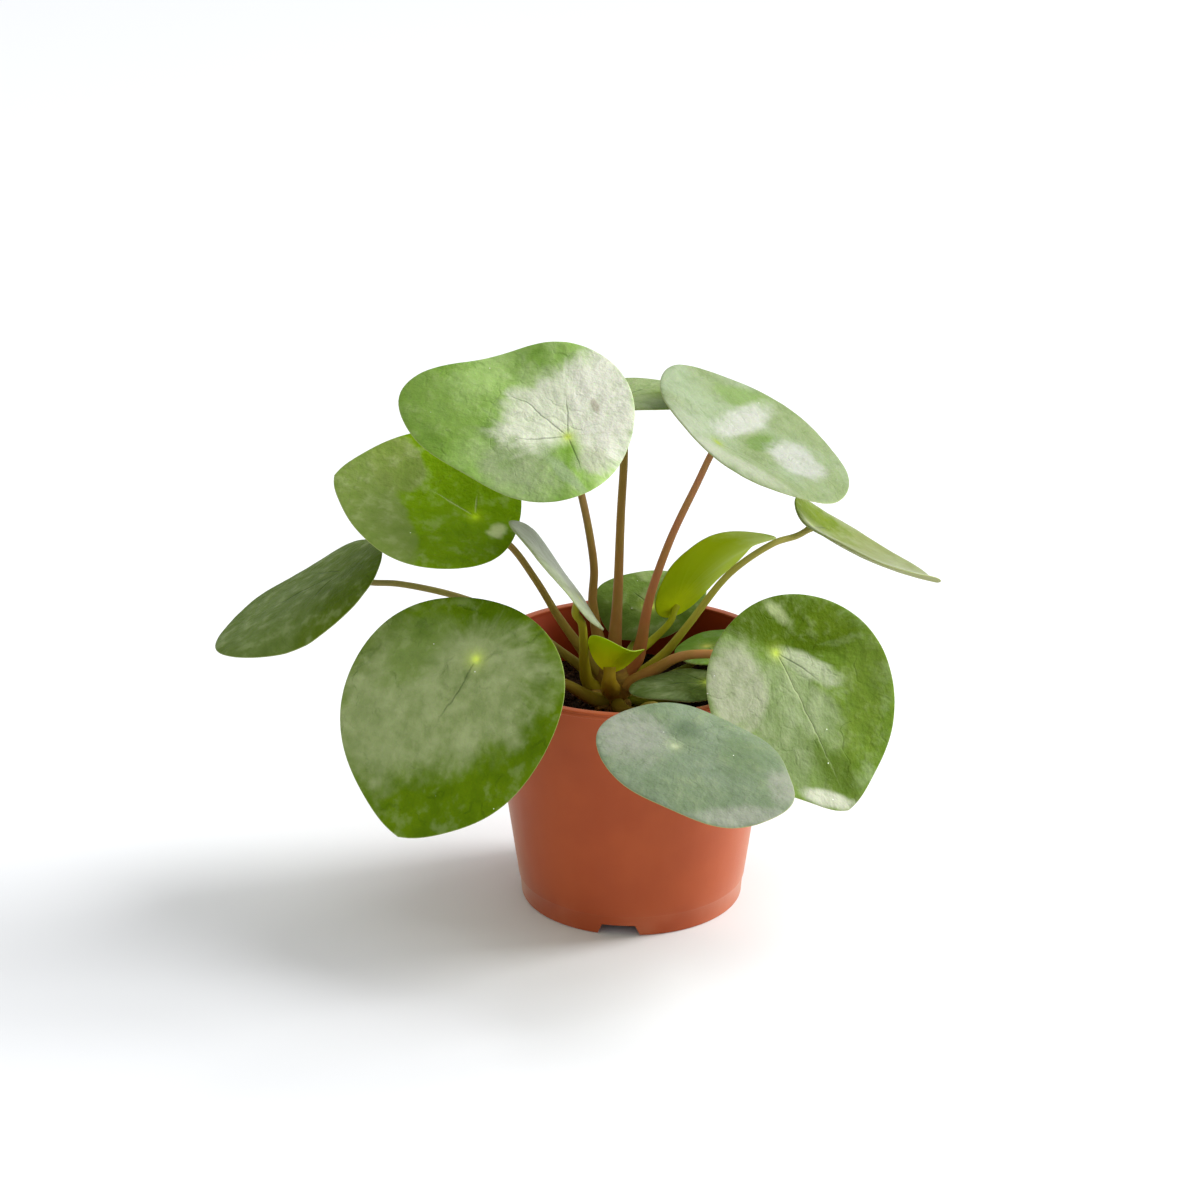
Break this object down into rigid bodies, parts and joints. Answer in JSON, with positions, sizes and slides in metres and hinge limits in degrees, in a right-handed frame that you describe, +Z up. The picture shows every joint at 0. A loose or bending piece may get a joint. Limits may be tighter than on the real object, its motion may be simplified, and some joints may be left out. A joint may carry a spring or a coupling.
{
  "type": "potted pilea plant",
  "caption": "House plant with round, glossy green leaves on long arching stalks, growing from one short stem in a plain tapered nursery pot filled with soil.",
  "frame": {"origin": "centre of the pot's underside, which the plant stands on", "axes": "+Z up along the pot's axis, +Y away from the front of the plant, +X to the right seen from the front"},
  "size_m": [0.2857, 0.2258, 0.2275],
  "materials": {
    "pot": "satin",
    "soil": "matte",
    "stem": "matte",
    "brown_stalk": "satin",
    "green_stalk": "satin",
    "blade": "glossy",
    "young_blade": "glossy"
  },
  "bodies": {
    "root": {"pot": "pot", "soil": "soil", "stem": "stem", "stalk_top_left": "brown_stalk", "blade_top_left": "blade", "stalk_upper_left": "brown_stalk", "blade_upper_left": "blade", "stalk_far_left": "green_stalk", "blade_far_left": "blade", "stalk_front_left": "green_stalk", "blade_front_left": "blade", "stalk_front": "green_stalk", "blade_front": "blade", "stalk_front_right": "brown_stalk", "blade_front_right": "blade", "stalk_top_right": "brown_stalk", "blade_top_right": "blade", "stalk_far_right": "green_stalk", "blade_far_right": "blade", "stalk_top_back": "brown_stalk", "blade_top_back": "blade", "stalk_young_right": "green_stalk", "blade_young_right": "young_blade", "stalk_back_low": "green_stalk", "blade_back_low": "blade", "stalk_right_low": "green_stalk", "blade_right_low": "blade", "stalk_front_low": "green_stalk", "blade_front_low": "blade", "stalk_bud": "green_stalk", "blade_bud": "young_blade", "stalk_inner_left": "green_stalk", "blade_inner_left": "blade"}
  },
  "joints": []
}
